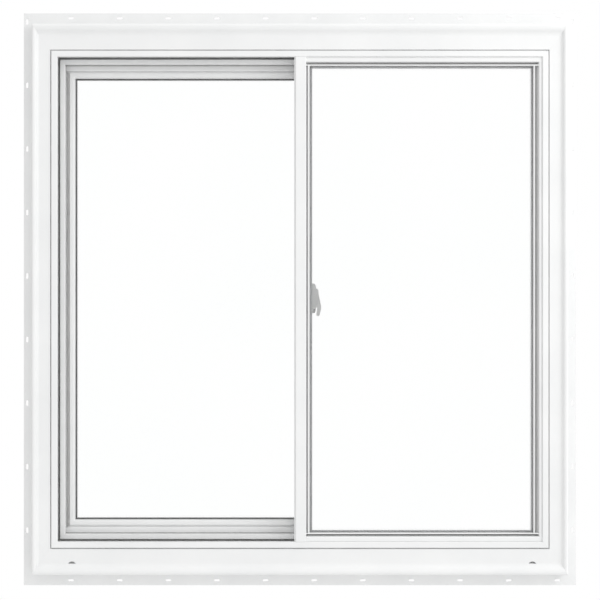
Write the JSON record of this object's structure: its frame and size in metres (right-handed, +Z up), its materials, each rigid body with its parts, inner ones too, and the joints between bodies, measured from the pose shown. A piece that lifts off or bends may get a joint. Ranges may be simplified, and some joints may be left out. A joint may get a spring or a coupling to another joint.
{
  "type": "sliding window",
  "caption": "White horizontal sliding window with a nailing fin, a fixed double-glazed lite and a double-glazed sash that rolls sideways in a track and has a thumb-lever lock.",
  "frame": {"origin": "middle of the back face of the nailing fin under the sill", "axes": "+X to the right seen from outdoors, +Y from outdoors to indoors, +Z up"},
  "size_m": [0.925, 0.0893, 0.958],
  "materials": {
    "white_vinyl": "satin extruded vinyl",
    "white_bead": "satin extruded vinyl, snapped-in bead",
    "clear_glass": "clear float glass",
    "grey_spacer": "matt perforated spacer and edge seal",
    "track_metal": "mill finish",
    "roller_nylon": "moulded nylon",
    "lock_paint": "satin painted die-cast metal"
  },
  "bodies": {
    "frame": {"frame_head": "white_vinyl", "frame_sill": "white_vinyl", "frame_left_jamb": "white_vinyl", "frame_right_jamb": "white_vinyl", "meeting_stile": "white_vinyl", "head_stop_strip": "white_vinyl", "sill_stop_strip": "white_vinyl", "jamb_stop_strip": "white_vinyl", "fixed_head_bead": "white_bead", "fixed_sill_bead": "white_bead", "fixed_jamb_bead": "white_bead", "fixed_meeting_bead": "white_bead", "fixed_outer_pane": "clear_glass", "fixed_inner_pane": "clear_glass", "fixed_spacer": "grey_spacer", "roller_track": "track_metal"},
    "sash": {"sash_top_rail": "white_vinyl", "sash_bottom_rail": "white_vinyl", "sash_pull_stile": "white_vinyl", "sash_lock_stile": "white_vinyl", "sash_top_bead": "white_bead", "sash_bottom_bead": "white_bead", "sash_pull_bead": "white_bead", "sash_lock_bead": "white_bead", "sash_outer_pane": "clear_glass", "sash_inner_pane": "clear_glass", "sash_spacer": "grey_spacer", "lock_body": "lock_paint", "left_roller": "roller_nylon", "right_roller": "roller_nylon"},
    "lever": {"lock_lever": "lock_paint"}
  },
  "joints": [
    {"name": "sash_slide", "type": "slide", "parent": "frame", "child": "sash", "axis": [1, 0, 0], "range_m": [0, 0.36]},
    {"name": "lock_turn", "type": "hinge", "parent": "sash", "child": "lever", "pos_m": [0.021, 0.0568, 0.474], "axis": [0, 1, 0], "range_deg": [0, 90]}
  ]
}
